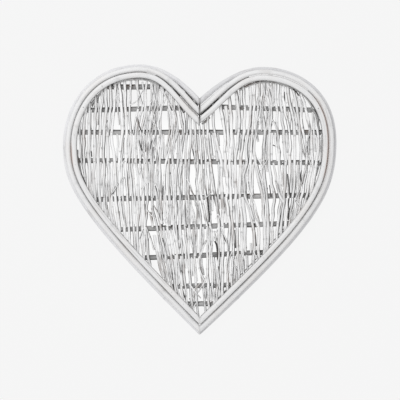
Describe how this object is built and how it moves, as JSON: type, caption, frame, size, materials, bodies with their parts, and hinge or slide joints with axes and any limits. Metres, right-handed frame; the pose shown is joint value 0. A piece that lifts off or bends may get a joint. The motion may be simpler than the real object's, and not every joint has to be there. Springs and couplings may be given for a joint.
{
  "type": "twig heart decoration",
  "caption": "Heart-shaped wall decoration: whitewashed bent canes form a flat frame, crossed by bars and filled with upright twigs.",
  "frame": {"origin": "middle of the heart's width and height, on the plane of its back", "axes": "+Z out of the front, away from the surface it lies on; +Y from the tip towards the lobes; +X to the right as seen from the front"},
  "size_m": [0.4996, 0.4947, 0.0257],
  "materials": {
    "outer_cane": "matt, thin grey-white wash",
    "cane": "matt whitewash, slightly smooth",
    "crossbar": "matt whitewash, greyed",
    "twig": "matt whitewash over bark"
  },
  "bodies": {
    "root": {"crossbar_01": "crossbar", "crossbar_02": "crossbar", "crossbar_03": "crossbar", "crossbar_04": "crossbar", "crossbar_05": "crossbar", "crossbar_06": "crossbar", "crossbar_07": "crossbar", "crossbar_08": "crossbar", "crossbar_09": "crossbar", "crossbar_10": "crossbar", "left_back_cane": "cane", "left_inner_cane": "cane", "left_middle_cane": "cane", "left_outer_cane": "outer_cane", "right_back_cane": "cane", "right_inner_cane": "cane", "right_middle_cane": "cane", "right_outer_cane": "outer_cane", "twig_01": "twig", "twig_02": "twig", "twig_03": "twig", "twig_04": "twig", "twig_05": "twig", "twig_06": "twig", "twig_07": "twig", "twig_08": "twig", "twig_09": "twig", "twig_10": "twig", "twig_11": "twig", "twig_12": "twig", "twig_13": "twig", "twig_14": "twig", "twig_15": "twig", "twig_16": "twig", "twig_17": "twig", "twig_18": "twig", "twig_19": "twig", "twig_20": "twig", "twig_21": "twig", "twig_22": "twig", "twig_23": "twig", "twig_24": "twig", "twig_25": "twig", "twig_26": "twig", "twig_27": "twig", "twig_28": "twig", "twig_29": "twig", "twig_30": "twig", "twig_31": "twig", "twig_32": "twig", "twig_33": "twig", "twig_34": "twig", "twig_35": "twig", "twig_36": "twig", "twig_37": "twig", "twig_38": "twig", "twig_39": "twig", "twig_40": "twig", "twig_41": "twig", "twig_42": "twig"}
  },
  "joints": []
}
